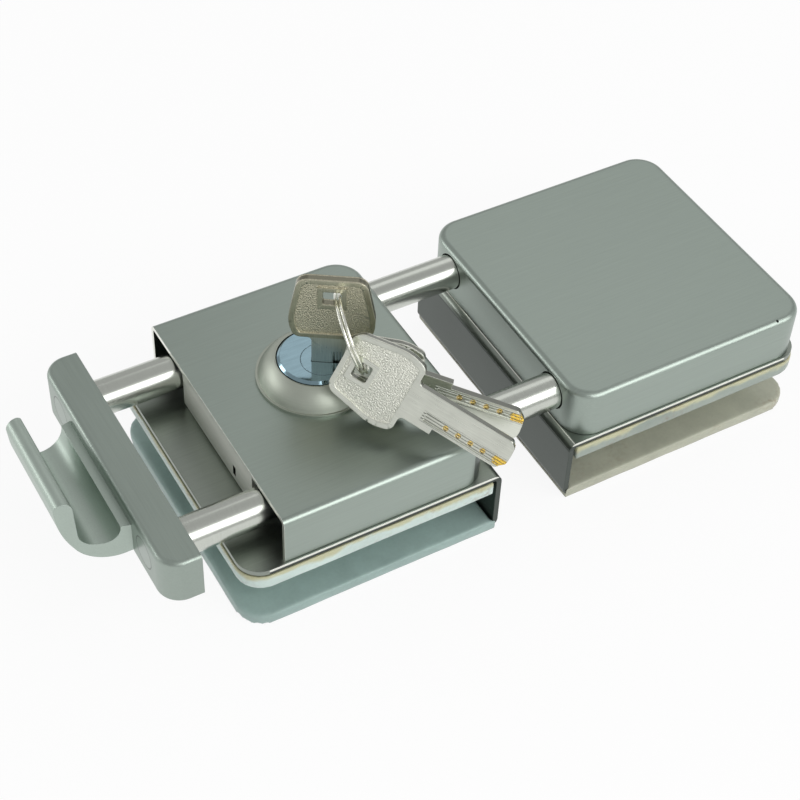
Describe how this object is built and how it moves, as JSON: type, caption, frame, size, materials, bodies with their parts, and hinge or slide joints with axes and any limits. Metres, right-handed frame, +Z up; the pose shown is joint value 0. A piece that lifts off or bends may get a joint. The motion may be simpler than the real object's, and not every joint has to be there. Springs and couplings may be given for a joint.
{
  "type": "glass door lock",
  "caption": "Clamp-on lock for a pair of glass door leaves: a keyed case slides round bolts on a yoke with a hook pull into a keeper box; a key in the cylinder carries a ring with spare keys.",
  "frame": {"origin": "on the key plug's axis, on the centre line, at the underside of the lower pads", "axes": "+Z up out of the cylinder's face; +X along the bolts, from the pull to the keeper"},
  "size_m": [0.2129, 0.0908, 0.072],
  "materials": {
    "satin_steel": "satin brushed stainless steel",
    "bolt_steel": "ground stainless bar",
    "plate_steel": "plain mill steel",
    "fastener_zinc": "bright zinc plate",
    "barrel_chrome": "polished chrome plate",
    "lock_brass": "plain brass",
    "spring_steel": "bright spring wire",
    "cam_steel": "plain steel",
    "key_nickel": "nickel plate, grainy bows",
    "pale_rubber": "pale blue-white soft plastic",
    "milky_rubber": "milky blue-green soft plastic",
    "cream_rubber": "cream soft plastic"
  },
  "bodies": {
    "case": {"case_frame": "satin_steel", "case_cover": "satin_steel", "end_bracket": "satin_steel", "front_guide_blocks": "plate_steel", "rear_guide_blocks": "plate_steel", "case_posts": "fastener_zinc", "case_post_screws": "fastener_zinc", "rosette": "satin_steel", "cylinder_body": "barrel_chrome", "cylinder_nut": "lock_brass", "driver_pins": "lock_brass", "pin_springs": "spring_steel", "case_pressure_plate": "plate_steel", "case_upper_pad": "pale_rubber", "case_lower_pad": "milky_rubber", "case_grub_screws": "fastener_zinc", "case_clinch_nuts": "fastener_zinc"},
    "bolts": {"yoke": "satin_steel", "near_bolt": "bolt_steel", "far_bolt": "bolt_steel", "hook_pull": "satin_steel", "bolt_end_screws": "bolt_steel", "pull_screws": "fastener_zinc", "stop_pins": "bolt_steel"},
    "plug": {"plug": "barrel_chrome", "cam": "cam_steel", "cam_clip": "spring_steel", "key_pins": "lock_brass"},
    "key": {"inserted_key": "key_nickel"},
    "ring": {"key_ring": "spring_steel"},
    "front_key": {"loose_key_front": "key_nickel"},
    "back_key": {"loose_key_back": "key_nickel"},
    "keeper": {"keeper_frame": "satin_steel", "keeper_lid": "satin_steel", "keeper_guide_blocks": "plate_steel", "keeper_posts": "fastener_zinc", "keeper_post_screws": "fastener_zinc", "keeper_pressure_plate": "plate_steel", "keeper_upper_pad": "pale_rubber", "keeper_lower_pad": "cream_rubber", "keeper_grub_screws": "fastener_zinc", "keeper_clinch_nuts": "fastener_zinc"}
  },
  "joints": [
    {"name": "bolt_slide", "type": "slide", "parent": "case", "child": "bolts", "axis": [1, 0, 0], "range_m": [-0.0235, 0.0216]},
    {"name": "plug_turn", "type": "hinge", "parent": "case", "child": "plug", "pos_m": [0, 0, 0.0435], "axis": [0, 0, 1], "range_deg": [0, 90]},
    {"name": "key_pull", "type": "slide", "parent": "plug", "child": "key", "axis": [0, 0, 1], "range_m": [0, 0.028]},
    {"name": "ring_swing", "type": "hinge", "parent": "key", "child": "ring", "pos_m": [0.00303, -0.00197, 0.06645], "axis": [-0.8387, 0.5446, 0], "range_deg": [0, 14]},
    {"name": "front_key_swing", "type": "hinge", "parent": "ring", "child": "front_key", "pos_m": [0.00193, -0.01669, 0.05353], "axis": [-0.6539, -0.6459, 0.3939], "range_deg": [0, 30]},
    {"name": "back_key_swing", "type": "hinge", "parent": "ring", "child": "back_key", "pos_m": [0.00436, -0.01434, 0.04922], "axis": [-0.5741, -0.7751, 0.264], "range_deg": [0, 30]},
    {"name": "keeper_slide", "type": "slide", "parent": "case", "child": "keeper", "axis": [1, 0, 0], "range_m": [-0.0172, 0.015]}
  ]
}
